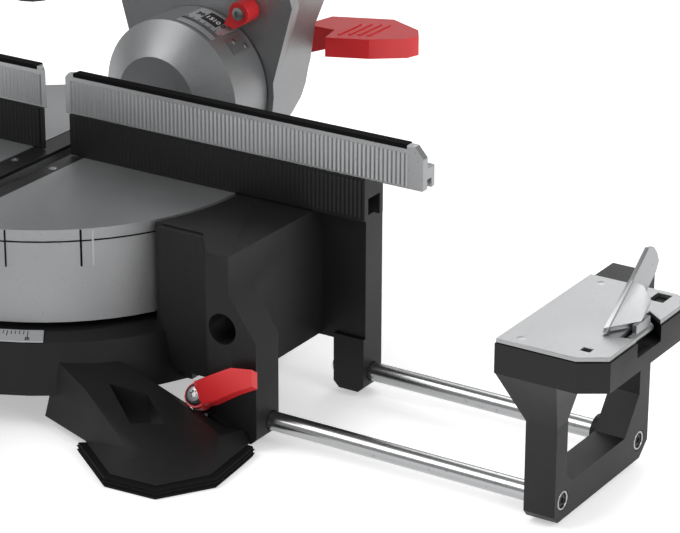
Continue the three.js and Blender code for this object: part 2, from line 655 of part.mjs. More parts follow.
add('blade_bolt', cut(
  rod('x', arborLine, 10, -16, -6 - fit, 6),
  rod('x', arborLine, 5 + fit, -12 - fit, 0),
), steel, onHead);
function lowerGuard() {
  const shell = turned('x', arborLine, [
    [30, -lowerHalf], [lowerOuter, -lowerHalf], [lowerOuter, lowerHalf], [30, lowerHalf], [30, lowerHalf - 2],
    [lowerOuter - 2, lowerHalf - 2], [lowerOuter - 2, 2 - lowerHalf], [30, 2 - lowerHalf],
  ], 64);
  const sector = prism('x', [[0, arborZ], ...arc(160, 190, 350, 10, [0, arborZ])], -20, 20);
  return both(shell, sector);
}
add('lower_guard', lowerGuard(), black, onHead);

const gripHalf = 14;
const gripHole = [
  [-72, top + 212], [-118, top + 177], [-134, top + 184], [-132, top + 208], [-104, top + 234], [-72,
    top + 229],
];
function handleGrip() {
  const grip = prism('x', [
    [-46, top + 196], [-112, top + 140], [-134, top + 150], [-152, top + 172], [-149, top + 216], [-112,
      top + 252],
    [-62, top + 246],
  ], -gripHalf, gripHalf, [gripHole]);
  const seat = rod('x', arborLine, guardOuter + fit, -40, 40, 64);
  const arm = prism('x', [[-10, top + 140], [-10, top + 190.5], [70, top + 200.5], [70, top + 140]], -30, 30);
  const slot = prism('x', [[-126, top + 200], [-94, top + 230], [-108, top + 243], [-138, top + 213]],
    -5.5, 5.5);
  const button = rod('x', [0, -88, top + 238], 5 + fit, 1, gripHalf + 2, 16);
  return cut(grip, seat, arm, slot, button);
}
add('handle_grip', handleGrip(), black, onHead);
add('trigger', prism('x', [[-125, top + 203], [-98, top + 229], [-105, top + 236], [-131, top + 209]],
  -5, 5), red, onHead);
add('lock_off_button', rod('x', [0, -88, top + 238], 5, 6, gripHalf + 4, 16), red, onHead);

// the row's origin is the middle of the footprint
const extent = new THREE.Box3().setFromObject(model, true);
model.position.set(-(extent.min.x + extent.max.x) / 2, -(extent.min.y + extent.max.y) / 2, -extent.min.z);

export default model;
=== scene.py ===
import json
import math
import bpy
import bmesh
import numpy as np
from mathutils import Matrix, Vector


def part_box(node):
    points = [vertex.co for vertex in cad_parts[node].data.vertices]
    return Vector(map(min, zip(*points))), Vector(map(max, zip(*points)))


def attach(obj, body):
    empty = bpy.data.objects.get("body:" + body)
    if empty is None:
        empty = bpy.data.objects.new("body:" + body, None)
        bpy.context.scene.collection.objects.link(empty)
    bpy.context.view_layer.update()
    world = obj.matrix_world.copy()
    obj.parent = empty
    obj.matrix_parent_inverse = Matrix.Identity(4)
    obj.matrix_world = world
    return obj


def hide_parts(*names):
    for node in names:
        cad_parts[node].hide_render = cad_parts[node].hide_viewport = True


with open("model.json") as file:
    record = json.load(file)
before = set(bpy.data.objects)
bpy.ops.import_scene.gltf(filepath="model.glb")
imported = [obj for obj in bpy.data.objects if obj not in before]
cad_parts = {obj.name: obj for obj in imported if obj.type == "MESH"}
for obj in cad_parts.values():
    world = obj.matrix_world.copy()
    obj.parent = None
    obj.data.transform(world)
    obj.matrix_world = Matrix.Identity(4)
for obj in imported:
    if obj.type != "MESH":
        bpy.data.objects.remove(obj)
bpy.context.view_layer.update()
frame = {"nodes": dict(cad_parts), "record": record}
nodes = frame["nodes"]
scene = bpy.context.scene
print("frame loaded:", len(nodes), "nodes")

# the CAD's own landmarks, in metres
mm = 0.001
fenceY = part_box("fence_slide_right")[0][1]   # fence face
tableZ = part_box("top_plate_right")[1][2]     # table face


def spot(x, y, z):
    # x from the pivot, y from the fence face, z from the table face, in millimetres
    return Vector((x * mm, fenceY + y * mm, tableZ + z * mm))


# ---- camera, light and floor
cameraSet = {"azimuth": 32.43, "elevation": 22.09, "roll": 0.16, "lens": 154.0,
             "place": (1096.1, -1386.9, 635.1)}
cameraData = bpy.data.cameras.new("camera")
cameraData.lens = cameraSet["lens"]
cameraData.sensor_width = 36.0
cameraData.clip_end = 50.0
camera = bpy.data.objects.new("camera", cameraData)
scene.collection.objects.link(camera)
camera.location = spot(*cameraSet["place"])
look = (Matrix.Rotation(math.radians(cameraSet["azimuth"]), 4, "Z")
        @ Matrix.Rotation(math.radians(90 - cameraSet["elevation"]), 4, "X")
        @ Matrix.Rotation(math.radians(cameraSet["roll"]), 4, "Z"))
camera.rotation_euler = look.to_euler()
scene.camera = camera
scene.view_settings.view_transform = "Standard"

world = bpy.data.worlds.new("studio")
scene.world = world
world.use_nodes = True
backdrop = world.node_tree.nodes["Background"]
backdrop.inputs["Color"].default_value = (1.0, 1.0, 1.0, 1.0)
eyeRay = world.node_tree.nodes.new("ShaderNodeLightPath")
backLevel = world.node_tree.nodes.new("ShaderNodeMath")
backLevel.operation = "MULTIPLY_ADD"
worldSet = {"light": 0.45, "eyeExtra": 0.55}   # the extra is for the camera only and keeps the backdrop white
backLevel.inputs[1].default_value = worldSet["eyeExtra"]
backLevel.inputs[2].default_value = worldSet["light"]
world.node_tree.links.new(eyeRay.outputs["Is Camera Ray"], backLevel.inputs[0])
world.node_tree.links.new(backLevel.outputs["Value"], backdrop.inputs["Strength"])

lightSet = {
    "keyBox": {"place": (-0.9, -1.5, 2.0), "size": 1.4, "power": 26.0},
    "sideBox": {"place": (2.0, -0.3, 1.2), "size": 1.1, "power": 16.0},
    "backBox": {"place": (-0.3, 1.9, 1.9), "size": 1.6, "power": 22.0},
}
lightAim = Vector((0, 0, 0.1))
for name, box in lightSet.items():
    lamp = bpy.data.lights.new(name, "AREA")
    lamp.size = box["size"]
    lamp.energy = box["power"]
    lampObject = bpy.data.objects.new(name, lamp)
    scene.collection.objects.link(lampObject)
    lampObject.location = box["place"]
    lampObject.rotation_euler = (lightAim - Vector(box["place"])).to_track_quat("-Z", "Y").to_euler()


# ---- shader groups, each built once
def newGroup(name, inputs, outputs):
    group = bpy.data.node_groups.new(name, "ShaderNodeTree")
    for label, value in inputs.items():
        group.interface.new_socket(label, in_out="INPUT", socket_type="NodeSocketFloat").default_value = value
    for label in outputs:
        group.interface.new_socket(label, in_out="OUTPUT", socket_type="NodeSocketFloat")
    return group, group.nodes.new("NodeGroupInput"), group.nodes.new("NodeGroupOutput")


def noiseNode(tree, vector, scale, detail=4.0, rough=0.5):
    node = tree.nodes.new("ShaderNodeTexNoise")
    node.inputs["Detail"].default_value = detail
    node.inputs["Roughness"].default_value = rough
    if isinstance(scale, float):
        node.inputs["Scale"].default_value = scale
    else:
        tree.links.new(scale, node.inputs["Scale"])
    tree.links.new(vector, node.inputs["Vector"])
    return node.outputs["Fac"]


def mathNode(tree, kind, a, b):
    node = tree.nodes.new("ShaderNodeMath")
    node.operation = kind
    for socket, value in zip(node.inputs, (a, b)):
        if isinstance(value, (int, float)):
            socket.default_value = value
        else:
            tree.links.new(value, socket)
    return node.outputs[0]


def stretched(tree, vector, scale):
    node = tree.nodes.new("ShaderNodeMapping")
    node.inputs["Scale"].default_value = scale
    tree.links.new(vector, node.inputs["Vector"])
    return node.outputs["Vector"]


grainSet = {"fine": 0.6, "coarse": 0.4, "coarseScale": 0.31, "pitScale": 0.5, "pitLevel": 0.72}
scuffLevel = 0.68


def grainGroup():
    # sand-cast or moulded grain: coarse and fine noise added, plus slow mottling and rare pits
    group, source, sink = newGroup("surfaceGrain", {"Grain Size": 900.0, "Mottle Size": 14.0},
                                   ["Height", "Mottle", "Pits"])
    place = group.nodes.new("ShaderNodeTexCoord").outputs["Object"]
    fine = noiseNode(group, place, source.outputs["Grain Size"], 3.0, 0.6)
    coarseSize = mathNode(group, "MULTIPLY", source.outputs["Grain Size"], grainSet["coarseScale"])
    coarse = noiseNode(group, place, coarseSize, 2.0)
    fineShare = mathNode(group, "MULTIPLY", fine, grainSet["fine"])
    coarseShare = mathNode(group, "MULTIPLY", coarse, grainSet["coarse"])
    group.links.new(mathNode(group, "ADD", fineShare, coarseShare), sink.inputs["Height"])
    group.links.new(noiseNode(group, place, source.outputs["Mottle Size"], 5.0, 0.62), sink.inputs["Mottle"])
    pitSize = mathNode(group, "MULTIPLY", source.outputs["Grain Size"], grainSet["pitScale"])
    pits = noiseNode(group, place, pitSize, 1.0)
    group.links.new(mathNode(group, "GREATER_THAN", pits, grainSet["pitLevel"]), sink.inputs["Pits"])
    return group


def brushGroup():
    # long thin streaks along one axis, as a belt leaves them
    group, source, sink = newGroup("brushedStreaks", {"Size": 60.0}, ["Height"])
    place = group.nodes.new("ShaderNodeTexCoord").outputs["Object"]
    drawn = stretched(group, place, (0.6, 14.0, 14.0))
    group.links.new(noiseNode(group, drawn, source.outputs["Size"], 5.0, 0.7), sink.inputs["Height"])
    return group


def handlingGroup():
    # fingermarks and light scuffs: broad soft patches cut by fine crossing lines
    group, source, sink = newGroup("handlingMarks", {"Patch Size": 22.0, "Line Size": 120.0},
                                   ["Smudge", "Scuff"])
    place = group.nodes.new("ShaderNodeTexCoord").outputs["Object"]
    patch = noiseNode(group, place, source.outputs["Patch Size"], 3.0, 0.55)
    lines = noiseNode(group, stretched(group, place, (9.0, 1.0, 3.0)), source.outputs["Line Size"], 4.0, 0.75)
    group.links.new(patch, sink.inputs["Smudge"])
    group.links.new(mathNode(group, "MULTIPLY", mathNode(group, "GREATER_THAN", lines, scuffLevel), patch),
                    sink.inputs["Scuff"])
    return group


surfaceGrain = grainGroup()
brushedStreaks = brushGroup()
handlingMarks = handlingGroup()

finishSet = {
    "silverCast": {"color": (0.30, 0.305, 0.31), "rough": 0.44, "metal": 0.75, "grain": 1500.0,
                   "height": 0.35, "mottle": 0.06, "slot": "silver_cast"},
    "blackCast": {"color": (0.0065, 0.0065, 0.007), "rough": 0.50, "metal": 0.0, "grain": 1300.0,
                  "height": 0.30, "mottle": 0.20, "shine": 0.30, "slot": "black_cast"},
    "blackPlastic": {"color": (0.008, 0.008, 0.0085), "rough": 0.42, "metal": 0.0, "grain": 2200.0,
                     "height": 0.16, "mottle": 0.15, "shine": 0.32, "slot": "black_plastic"},
    "padRubber": {"color": (0.004, 0.004, 0.004), "rough": 0.78, "metal": 0.0, "grain": 800.0,
                  "height": 0.30, "mottle": 0.25, "shine": 0.15, "slot": "pad_rubber"},
    "redPlastic": {"color": (0.66, 0.022, 0.026), "rough": 0.36, "metal": 0.0, "grain": 1700.0,
                   "height": 0.14, "mottle": 0.10, "slot": "red_plastic"},
    "chromeTube": {"color": (0.40, 0.405, 0.41), "rough": 0.24, "metal": 1.0, "grain": 500.0,
                   "height": 0.03, "mottle": 0.05, "brushed": 0.05, "slot": "chrome_tube"},
    "toolSteel": {"color": (0.34, 0.345, 0.35), "rough": 0.36, "metal": 1.0, "grain": 900.0,
                  "height": 0.05, "mottle": 0.08, "brushed": 0.16, "slot": "steel"},
    "anodised": {"color": (0.33, 0.335, 0.34), "rough": 0.36, "metal": 0.9, "grain": 1200.0,
                 "height": 0.08, "mottle": 0.06, "brushed": 0.20, "slot": "aluminium_plate"},
    "scaleMetal": {"color": (0.50, 0.51, 0.52), "rough": 0.36, "metal": 0.7, "grain": 1500.0,
                   "height": 0.06, "mottle": 0.06, "brushed": 0.10, "slot": "scale_print"},
    "scaleInk": {"color": (0.012, 0.012, 0.014), "rough": 0.55, "metal": 0.0, "grain": 1800.0,
                 "height": 0.10, "mottle": 0.12, "slot": "scale_print"},
    "whiteInk": {"color": (0.78, 0.78, 0.76), "rough": 0.5, "metal": 0.0, "grain": 1800.0,
                 "height": 0.10, "mottle": 0.06, "slot": "scale_print"},
    # a near-black finish: the fence's real black cap, and dark sheets of painted shade in the turntable groove,
    # the lip seams and the motor cap's vent slots
    "blackCapAndPaintedShade": {"color": (0.004, 0.004, 0.004), "rough": 0.85, "metal": 0.0, "grain": 900.0,
                "height": 0.10, "mottle": 0.2, "shine": 0.1, "slot": "black_plastic"},
}


def groupNode(tree, group, values):
    node = tree.nodes.new("ShaderNodeGroup")
    node.node_tree = group
    for label, value in values.items():
        node.inputs[label].default_value = value
    return node


# what all finishes share: sizes of the marks, how far each one shifts the look, and the bump's depth in metres
wearSet = {"mottleSize": 16.0, "patchSize": 26.0, "lineSize": 90.0, "streakSize": 70.0, "streakGain": 12,
           "pitShade": 0.6, "pitLift": 0.003, "pitShare": 0.5, "smudge": 0.16, "scuff": 0.10,
           "roughShift": 0.08, "bumpDepth": 0.0006}


def finish(name, look):
    material = bpy.data.materials.new(name)
    material.use_nodes = True
    tree = material.node_tree
    shader = tree.nodes["Principled BSDF"]
    shader.inputs["Metallic"].default_value = look["metal"]
    shader.inputs["Specular IOR Level"].default_value = look.get("shine", 0.5)
    grain = groupNode(tree, surfaceGrain, {"Grain Size": look["grain"], "Mottle Size": wearSet["mottleSize"]})
    marks = groupNode(tree, handlingMarks, {"Patch Size": wearSet["patchSize"],
                                            "Line Size": wearSet["lineSize"]})
    tint = tree.nodes.new("ShaderNodeMix")
    tint.data_type = "RGBA"
    dark = tuple(c * (1 - look["mottle"]) for c in look["color"])
    bright = tuple(min(1.0, c * (1 + look["mottle"])) for c in look["color"])
    tint.inputs["A"].default_value = (*dark, 1)
    tint.inputs["B"].default_value = (*bright, 1)
    tree.links.new(grain.outputs["Mottle"], tint.inputs["Factor"])
    speck = tree.nodes.new("ShaderNodeMix")
    speck.data_type = "RGBA"
    pitColor = [c * wearSet["pitShade"] + wearSet["pitLift"] for c in look["color"]]
    speck.inputs["B"].default_value = (*pitColor, 1)
    pitShare = mathNode(tree, "MULTIPLY", grain.outputs["Pits"], wearSet["pitShare"])
    tree.links.new(pitShare, speck.inputs["Factor"])
    tree.links.new(tint.outputs["Result"], speck.inputs["A"])
    tree.links.new(speck.outputs["Result"], shader.inputs["Base Color"])
    rough = mathNode(tree, "MULTIPLY_ADD", marks.outputs["Smudge"], wearSet["smudge"])
    rough.node.inputs[2].default_value = look["rough"] - wearSet["roughShift"]
    total = mathNode(tree, "ADD", rough, mathNode(tree, "MULTIPLY", marks.outputs["Scuff"], wearSet["scuff"]))
    tree.links.new(total, shader.inputs["Roughness"])
    height = grain.outputs["Height"]
    if "brushed" in look:
        streak = groupNode(tree, brushedStreaks, {"Size": wearSet["streakSize"]})
        streaks = mathNode(tree, "MULTIPLY", streak.outputs["Height"], look["brushed"] * wearSet["streakGain"])
        height = mathNode(tree, "ADD", height, streaks)
    bump = tree.nodes.new("ShaderNodeBump")
    bump.inputs["Strength"].default_value = look["height"]
    bump.inputs["Distance"].default_value = wearSet["bumpDepth"]
    tree.links.new(height, bump.inputs["Height"])
    tree.links.new(bump.outputs["Normal"], shader.inputs["Normal"])
    return material


finishes = {name: finish(name, look) for name, look in finishSet.items()}
print("finishes made:", len(finishes))


# ---- making and placing pieces
bodyOf = {node: body for body, members in frame["record"]["behaviour"]["bodies"].items() for node in members}
slotOf = {part["node"]: part["material_slot"] for part in frame["record"]["subparts"]}
finishOf = {"silver_cast": "silverCast", "black_cast": "blackCast", "black_plastic": "blackPlastic",
            "pad_rubber": "padRubber", "red_plastic": "redPlastic", "chrome_tube": "chromeTube",
            "steel": "toolSteel", "aluminium_plate": "anodised", "scale_print": "scaleMetal"}


def settle(piece, finishName, body):
    piece.data.materials.clear()
    piece.data.materials.append(finishes[finishName])
    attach(piece, body)
    return piece


def meshPiece(name, points, faces, finishName, body, smooth=35):
    mesh = bpy.data.meshes.new(name)
    mesh.from_pydata(np.asarray(points).reshape(-1, 3).tolist(), [], faces)
    tidyMesh(mesh, smooth)
    piece = bpy.data.objects.new(name, mesh)
    scene.collection.objects.link(piece)
    return settle(piece, finishName, body)


def tidyMesh(mesh, smooth, flatten=0.0):
    # merge doubles first, then turn the faces outwards, then smooth all but the real edges
    work = bmesh.new()
    work.from_mesh(mesh)
    bmesh.ops.remove_doubles(work, verts=work.verts, dist=1e-6)
    if flatten:
        bmesh.ops.dissolve_limit(work, angle_limit=math.radians(flatten), verts=work.verts, edges=work.edges)
    else:
        bmesh.ops.recalc_face_normals(work, faces=work.faces)
    work.to_mesh(mesh)
    work.free()
    mesh.polygons.foreach_set("use_smooth", [True] * len(mesh.polygons))
    mesh.set_sharp_from_angle(angle=math.radians(smooth))


def gridFaces(rows, columns, wrapRows=False, wrapColumns=True):
    # quads between neighbouring grid points, with the last row or column joined to the first where it wraps
    r = np.arange(rows if wrapRows else rows - 1)
    c = np.arange(columns if wrapColumns else columns - 1)
    a, b = np.meshgrid(r, c, indexing="ij")
    a2, b2 = (a + 1) % rows, (b + 1) % columns
    quads = np.stack([a * columns + b, a * columns + b2, a2 * columns + b2, a2 * columns + b], -1)
    return quads.reshape(-1, 4).tolist()


def axes(direction, up=(0, 0, 1)):
    # two unit vectors square to a direction, the second as near to up as it can be
    w = Vector(direction).normalized()
    u = Vector(up).cross(w)
    u = (u if u.length > 1e-4 else Vector((1, 0, 0)).cross(w)).normalized()
    return np.array(u), np.array(w.cross(u)), np.array(w)


def turned(name, profile, centre, direction, finishName, body, sides=40, wave=None):
    # point = centre + axis * a + radius * (cos t, sin t); the radius may ripple with t
    u, v, w = axes(direction)
    r, a = np.array(profile, float).T * mm
    t = np.linspace(0, 2 * math.pi, sides, endpoint=False)
    ripple = 1 + (wave(t) if wave else 0 * t)
    ring = np.cos(t)[:, None] * u + np.sin(t)[:, None] * v
    radial = r[:, None, None] * ripple[None, :, None] * ring[None]
    points = np.array(centre) + radial + a[:, None, None] * w
    closed = r[0] > 0
    return meshPiece(name, points, gridFaces(len(r), sides, wrapRows=closed), finishName, body)


def slab(name, outline, centre, direction, steps, finishName, body, up=(0, 0, 1)):
    # an outline carried up through (inset, height) steps, each ring pulled towards the middle by its inset
    u, v, w = axes(direction, up)
    flat = np.array(outline, float) * mm
    middle = flat.mean(0)
    out = flat - middle
    reach = np.linalg.norm(out, axis=1, keepdims=True)
    rings = [middle + out * (1 - inset * mm / reach) for inset, _ in steps]
    points = [ring[:, :1] * u + ring[:, 1:] * v + height * mm * w for ring, (_, height) in zip(rings, steps)]
    count = len(flat)
    faces = gridFaces(len(steps), count)
    faces += [list(range(count)), list(range((len(steps) - 1) * count, len(steps) * count))]
    return meshPiece(name, np.array(centre) + np.array(points), faces, finishName, body)


def stadium(length, width, steps=8):
    # two half circles joined by straights
    half = (length - width) / 2
    t = np.linspace(-math.pi / 2, math.pi / 2, steps)
    right = np.stack([half + np.cos(t) * width / 2, np.sin(t) * width / 2], -1)
    return np.concatenate([right, -right])


def curvedPlate(name, inner, outer, fromDeg, toDeg, low, high, centre, direction, finishName, body, steps=0):
    # a bent plate: radius, angle and height each between two values; angle 0 points along the first side axis
    u, v, w = axes(direction)
    count = steps or max(2, int(abs(toDeg - fromDeg) / 3) + 2)
    t = np.radians(np.linspace(fromDeg, toDeg, count))
    ring = np.cos(t)[:, None] * u + np.sin(t)[:, None] * v
    corners = [(inner, low), (outer, low), (outer, high), (inner, high)]
    points = np.stack([np.array(centre) + r * mm * ring + h * mm * w for r, h in corners], 1)
    faces = gridFaces(count, 4, wrapRows=abs(toDeg - fromDeg) > 359)
    if abs(toDeg - fromDeg) < 359:
        faces += [[0, 1, 2, 3], [4 * count - 4, 4 * count - 3, 4 * count - 2, 4 * count - 1]]
    return meshPiece(name, points, faces, finishName, body)


screwSet = {"rings": (0.0, 0.30, 0.42, 0.46, 0.60, 0.80, 0.94, 1.0, 1.0), "sides": 36, "lobes": 6, "lobe": 0.16,
            "socketEdge": 0.5, "fall": 0.45, "socket": 0.25, "root": -0.6}


def screw(name, centre, direction, radius, body, finishName="toolSteel", rise=1.6):
    # a domed head: height falls with the square of the radius, and a six-lobed socket is sunk in its middle
    u, v, w = axes(direction)
    t = np.linspace(0, 2 * math.pi, screwSet["sides"], endpoint=False)
    s = np.array(screwSet["rings"])
    lobes = 1 + screwSet["lobe"] * np.cos(screwSet["lobes"] * t)
    reach = s[:, None] * np.where(s[:, None] < screwSet["socketEdge"], lobes[None], 1.0)
    height = rise * (1 - screwSet["fall"] * s ** 2)
    height[:3] = rise * screwSet["socket"]
    height[-1] = screwSet["root"]
    ring = np.cos(t)[:, None] * u + np.sin(t)[:, None] * v
    points = np.array(centre) + radius * mm * (reach[..., None] * ring)
    points = points + height[:, None, None] * mm * w
    faces = gridFaces(len(s), len(t))
    faces.append(list(range((len(s) - 1) * len(t), len(s) * len(t))))
    return meshPiece(name, points, faces, finishName, body)


# every CAD node shows as a merged copy with its edges broken, as castings and mouldings have
edgeSet = {"base_casting": 1.2, "turntable_casting": 0.9, "bevel_arm": 2.4, "head_casting": 1.6,
           "gear_housing": 1.5, "bevel_lock_lever": 2.6, "clamp_lever_right": 1.8, "clamp_lever_left": 1.8,
           "end_bracket_right": 1.6, "end_bracket_left": 1.6, "handle_grip": 4.5, "head_yoke": 2.0,
           "rail_end_cap": 2.0, "flip_stop_right": 0.4, "flip_stop_left": 0.4, "top_plate_right": 0.4,
           "top_plate_left": 0.4, "lower_guard": 0.6, "saw_blade": 0.12, "mitre_scale_plate": 0.1,
           "bevel_scale_plate": 0.1, "kerf_insert": 0.4}
plainEdge = 0.6
finishPick = {"mitre_scale_plate": "scaleMetal", "bevel_scale_plate": "scaleMetal"}
for node, source in nodes.items():
    mesh = source.data.copy()
    tidyMesh(mesh, 40, flatten=0.4)
    skin = bpy.data.objects.new(node + ".skin", mesh)
    scene.collection.objects.link(skin)
    bevel = skin.modifiers.new("brokenEdges", "BEVEL")
    bevel.width = edgeSet.get(node, plainEdge) * mm
    bevel.segments = 3
    bevel.limit_method = "ANGLE"
    bevel.angle_limit = math.radians(38)
    bevel.harden_normals = True
    settle(skin, finishPick.get(node, finishOf[slotOf[node]]), bodyOf[node])
    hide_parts(node)
print("node skins made")

# the white paper the tool stands on
floorHalf = 8
floorMesh = bpy.data.meshes.new("floor")
floorCorners = [(x * floorHalf, y * floorHalf, 0) for x, y in ((-1, -1), (1, -1), (1, 1), (-1, 1))]
floorMesh.from_pydata(floorCorners, [], [(0, 1, 2, 3)])
floor = bpy.data.objects.new("floor", floorMesh)
scene.collection.objects.link(floor)
paper = bpy.data.materials.new("paper")
paper.use_nodes = True
paperSet = {"Base Color": (0.93, 0.93, 0.93, 1), "Roughness": 0.9, "Emission Color": (1, 1, 1, 1),
            "Emission Strength": 0.42}
for socket, value in paperSet.items():
    paper.node_tree.nodes["Principled BSDF"].inputs[socket].default_value = value
floorMesh.materials.append(paper)

# ---- details: screws, ribs, scales and grips that ride on the skins
sides = {"right": 1, "left": -1}
headSet = {"pinY": 150.0, "pinZ": 160.0, "lift": math.radians(-42)}


def headSpot(x, y, z):
    # a point of the saw head drawn level, turned up about the chop pin
    c, s = math.cos(headSet["lift"]), math.sin(headSet["lift"])
    dy, dz = y - headSet["pinY"], z - headSet["pinZ"]
    return spot(x, headSet["pinY"] + dy * c - dz * s, headSet["pinZ"] + dy * s + dz * c)


strokeSet = {"root": -0.15, "width": 0.45, "height": 0.12}


def strokes(name, marks, finishName, body):
    # many small bars in one mesh: middle, long axis, normal, length
    points, faces = [], []
    order = [(0, 1, 2, 3), (4, 5, 6, 7), (0, 1, 5, 4), (1, 2, 6, 5), (2, 3, 7, 6), (3, 0, 4, 7)]
    for middle, along, normal, length in marks:
        along, normal = Vector(along).normalized(), Vector(normal).normalized()
        across = normal.cross(along) * strokeSet["width"] / 2
        start = len(points)
        for rise in (strokeSet["root"], strokeSet["height"]):
            for a, b in ((-1, -1), (1, -1), (1, 1), (-1, 1)):
                points.append(middle + (along * a * length / 2 + across * b + normal * rise) * mm)
        faces += [[start + i for i in quad] for quad in order]
    return meshPiece(name, [list(p) for p in points], faces, finishName, body)


figureDepth = 0.15


def label(name, text, size, place, right, upward, finishName, body):
    curve = bpy.data.curves.new(name, "FONT")
    curve.body = text
    curve.size = size * mm
    curve.extrude = figureDepth * mm
    curve.align_x = "CENTER"
    curve.align_y = "CENTER"
    holder = bpy.data.objects.new(name, curve)
    scene.collection.objects.link(holder)
    bpy.context.view_layer.update()
    mesh = bpy.data.meshes.new_from_object(holder.evaluated_get(bpy.context.evaluated_depsgraph_get()))
    bpy.data.objects.remove(holder)
    right, upward = Vector(right).normalized(), Vector(upward).normalized()
    turn = Matrix((right, upward, right.cross(upward))).transposed().to_4x4()
    mesh.transform(Matrix.Translation(place) @ turn)
    tidyMesh(mesh, 35)
    piece = bpy.data.objects.new(name, mesh)
    scene.collection.objects.link(piece)
    return settle(piece, finishName, body)


# fence faces carry fine upright ribs: depth = d * (1 + cos(2 pi x / pitch)) / 2
ribSet = {"pitch": 3.0, "depth": 0.45, "perRib": 6, "front": 0.05, "back": 0.8}
capSet = {"outline": [(-126, -3.2), (121, -3.2), (121, 3.2), (-126, 3.2)], "middle": (140.5, 3, 53.4),
          "steps": [(0, 0), (0, 2.2), (0.6, 2.8)]}


def fenceRibs(name, sign, ends, heights, finishName, body):
    low, high = heights
    x = np.linspace(*ends, int((ends[1] - ends[0]) / ribSet["pitch"] * ribSet["perRib"]))
    front = ribSet["front"] - ribSet["depth"] * (1 + np.cos(2 * math.pi * x / ribSet["pitch"])) / 2
    points = [[list(spot(sign * a, y, z)) for y, z in ((ribSet["back"], low), (f, low), (f, high),
                                                       (ribSet["back"], high))] for a, f in zip(x, front)]
    last = 4 * len(x)
    faces = gridFaces(len(x), 4) + [[0, 1, 2, 3], [last - 4, last - 3, last - 2, last - 1]]
    return meshPiece(name, points, faces, finishName, body)


for side, sign in sides.items():
    fenceRibs("fenceRibsUpper." + side, sign, (12, 262), (30.0, 50.5), "anodised", "fence_upper_" + side)
    fenceRibs("fenceRibsLower." + side, sign, (14, 230), (3.0, 27.0), "blackCast", "base")
    capX, capY, capZ = capSet["middle"]
    slab("fenceCap." + side, [(sign * x, y) for x, y in capSet["outline"]], spot(sign * capX, capY, capZ),
         (0, 0, 1), capSet["steps"], "blackCapAndPaintedShade", "fence_upper_" + side, up=(0, 1, 0))
    screw("fenceKnobScrew." + side, spot(sign * 200, 39.6, 20), (0, 1, 0), 4.0, "fence_clamp_" + side)
print("fences done")

# turntable lip: a dark band of painted shade in the groove under the table edge, two dark strips of painted
# shadow in two seams, and a steel strip as a painted highlight on an edge; degrees from the front
lipSet = {"inner": 137.0, "outer": 137.8, "low": -24.0, "high": -0.4}
curvedPlate("tableLipGrooveShade", 136.9, 137.75, 0, 360, -8.0, -7.2, spot(0, 0, 0), (0, 0, 1), "blackCapAndPaintedShade",
            "turntable", 180)
for name, angle, width, look in (("seamShadowA", 24.0, 0.4, "blackCapAndPaintedShade"), ("seamShadowB", 43.0, 0.5, "blackCapAndPaintedShade"),
                                 ("edgeHighlightC", 46.0, 0.5, "toolSteel")):
    curvedPlate("tableLip" + name, lipSet["inner"], lipSet["outer"], angle, angle + width, lipSet["low"],
                lipSet["high"], spot(0, 0, 0), (0, 0, 1), look, "turntable", 3)

# mitre scale: one tick a degree on the sloped ring, its zero under the pointer
ringSet = {"zero": -20.4, "reach": 50, "slope": math.atan2(3.8, 8.6), "inner": 142.6, "top": -62.8,
           "tickStart": 143.2, "figures": 149.4, "figureTop": -62.5, "figureSize": 3.0}


def ringPlace(degree, radius, top):
    # a place on the sloped ring, with its outward direction and the slope's two axes
    t = math.radians(ringSet["zero"] + degree)
    c, s = math.cos(ringSet["slope"]), math.sin(ringSet["slope"])
    out = Vector((math.sin(t), -math.cos(t), 0))
    place = spot(0, 0, top - (radius - ringSet["inner"]) * math.tan(ringSet["slope"])) + out * radius * mm
    return place, out * c - Vector((0, 0, s)), out * s + Vector((0, 0, c)), (math.cos(t), math.sin(t), 0)


ticks = []
for degree in range(-ringSet["reach"], ringSet["reach"] + 1):
    length = 5.4 if degree % 10 == 0 else 4.2 if degree % 5 == 0 else 2.8
    place, downhill, normal, right = ringPlace(degree, ringSet["tickStart"] + length / 2, ringSet["top"])
    ticks.append((place, downhill, normal, length))
strokes("mitreTicks", ticks, "scaleInk", "base")
for degree in range(-ringSet["reach"], ringSet["reach"] + 1, 10):
    place, downhill, normal, right = ringPlace(degree, ringSet["figures"], ringSet["figureTop"])
    label(f"mitreNumber{degree}", str(abs(degree)), ringSet["figureSize"], place, right, -downhill,
          "scaleInk", "base")

# bevel scale on the drum, with a dark block behind part of it, and its small window plate
drumAxis = spot(0, 0, 3)
drumSet = {"scale": 54.0, "figures": 54.2, "window": 54.4, "tickY": 133, "figureY": 148, "firstTick": 54.5,
           "ticks": 32, "block": (62, 76)}


def drumSpot(angle, radius, y):
    t = math.radians(angle)
    out = Vector((math.cos(t), 0, math.sin(t)))
    return drumAxis + out * radius * mm + Vector((0, y * mm, 0)), out


